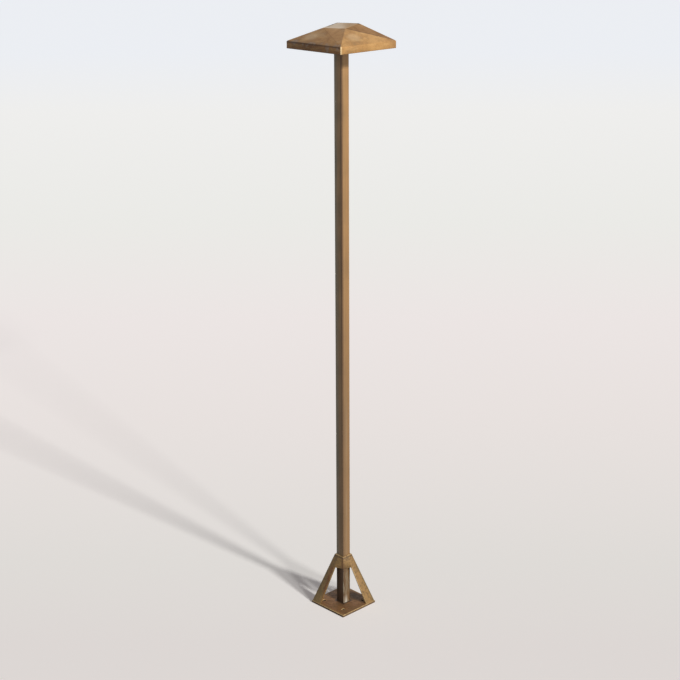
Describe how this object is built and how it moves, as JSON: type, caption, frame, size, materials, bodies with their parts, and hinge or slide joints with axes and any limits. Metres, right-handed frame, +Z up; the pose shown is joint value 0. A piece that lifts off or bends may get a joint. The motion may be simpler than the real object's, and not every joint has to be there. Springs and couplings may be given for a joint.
{
  "type": "path light",
  "caption": "Tall square-stem path light: a pyramid hat over downward lamps, on an open pyramid brace and a square bolt-down plate.",
  "frame": {"origin": "centre of the base plate's underside, on the ground", "axes": "+Z up along the stem; X and Y along the sides of the square plate and hat; the corner at +X -Y faces the viewer in the picture"},
  "size_m": [0.1844, 0.1844, 1.5308],
  "materials": {
    "aged_brass": "aged satin brass with a mottled brown patina",
    "bare_brass": "machined brass, lightly tarnished",
    "stainless": "plain stainless",
    "dark_steel": "black oxide",
    "black_rubber": "matte",
    "ceramic": "unglazed steatite",
    "lamp_white": "gloss",
    "emitter_board": "white board with yellow emitters",
    "lamp_clear": "clear",
    "lead_black": "silicone insulation",
    "splice_blue": "nylon"
  },
  "bodies": {
    "root": {"base_plate": "aged_brass", "cable_bushing": "black_rubber", "brace_frame": "aged_brass", "frame_screws": "stainless", "collar_screws": "dark_steel", "stem": "aged_brass", "stem_foot": "bare_brass", "foot_screws": "stainless", "stem_head": "bare_brass", "head_screws": "stainless", "lamp_bracket": "bare_brass", "bracket_screws": "stainless", "socket_left": "ceramic", "socket_right": "ceramic", "socket_screws": "stainless", "socket_leads": "lead_black", "lead_splices": "splice_blue"},
    "hat": {"hat_shell": "aged_brass", "hat_screws": "dark_steel"},
    "lamp_left": {"lamp_base_left": "lamp_white", "lamp_board_left": "emitter_board", "lamp_cover_left": "lamp_clear"},
    "lamp_right": {"lamp_base_right": "lamp_white", "lamp_board_right": "emitter_board", "lamp_cover_right": "lamp_clear"}
  },
  "joints": [
    {"name": "hat_lift", "type": "slide", "parent": "root", "child": "hat", "axis": [0, 0, 1], "range_m": [0, 0.08]},
    {"name": "lamp_left_pull", "type": "slide", "parent": "root", "child": "lamp_left", "axis": [-1, 0, 0], "range_m": [0, 0.01]},
    {"name": "lamp_right_pull", "type": "slide", "parent": "root", "child": "lamp_right", "axis": [1, 0, 0], "range_m": [0, 0.01]}
  ]
}
